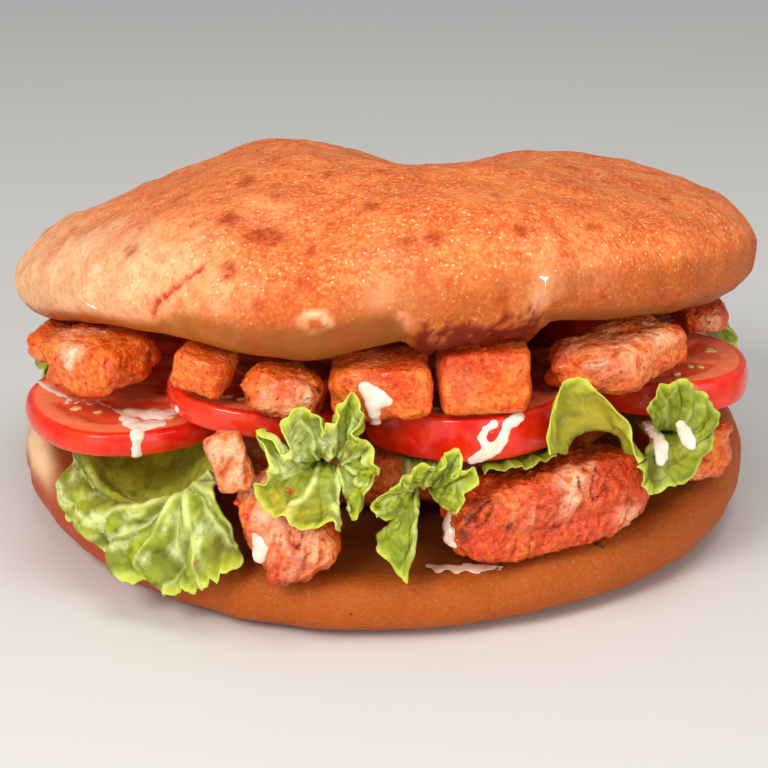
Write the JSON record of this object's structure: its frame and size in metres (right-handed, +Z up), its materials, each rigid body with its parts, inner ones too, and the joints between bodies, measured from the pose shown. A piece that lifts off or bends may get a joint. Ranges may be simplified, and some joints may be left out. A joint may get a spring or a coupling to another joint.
{
  "type": "doner kebab sandwich",
  "caption": "Round flat loaf slit into a pocket and filled with spiced chicken, tomato slices, ruffled lettuce and white sauce.",
  "frame": {"origin": "centre of the loaf's flat underside", "axes": "+Z up through the loaf, the open mouth of the pocket faces -Y, +X to the right as seen from the mouth"},
  "size_m": [0.1935, 0.2013, 0.1018],
  "materials": {
    "bread": "baked crust, matt and sandy",
    "chicken": "browned and lightly oiled",
    "tomato": "wet",
    "lettuce": "fresh, slightly glossy"
  },
  "bodies": {
    "root": {"bread": "bread", "chicken_bed": "chicken", "chicken_heart": "chicken", "chicken_left_back": "chicken", "chicken_lower_far": "chicken", "chicken_lower_left": "chicken", "chicken_lower_middle": "chicken", "chicken_lower_right": "chicken", "chicken_lower_splinter": "chicken", "chicken_right_side": "chicken", "chicken_upper_cube": "chicken", "chicken_upper_edge": "chicken", "chicken_upper_far": "chicken", "chicken_upper_left": "chicken", "chicken_upper_middle": "chicken", "chicken_upper_right": "chicken", "chicken_upper_side": "chicken", "chicken_upper_small": "chicken", "lettuce_arch": "lettuce", "lettuce_left": "lettuce", "lettuce_left_side": "lettuce", "lettuce_low": "lettuce", "lettuce_middle": "lettuce", "lettuce_right": "lettuce", "lettuce_right_side": "lettuce", "lettuce_under_tomato": "lettuce", "tomato_left": "tomato", "tomato_left_side": "tomato", "tomato_middle_left": "tomato", "tomato_middle_right": "tomato", "tomato_right": "tomato", "tomato_right_side": "tomato"}
  },
  "joints": []
}
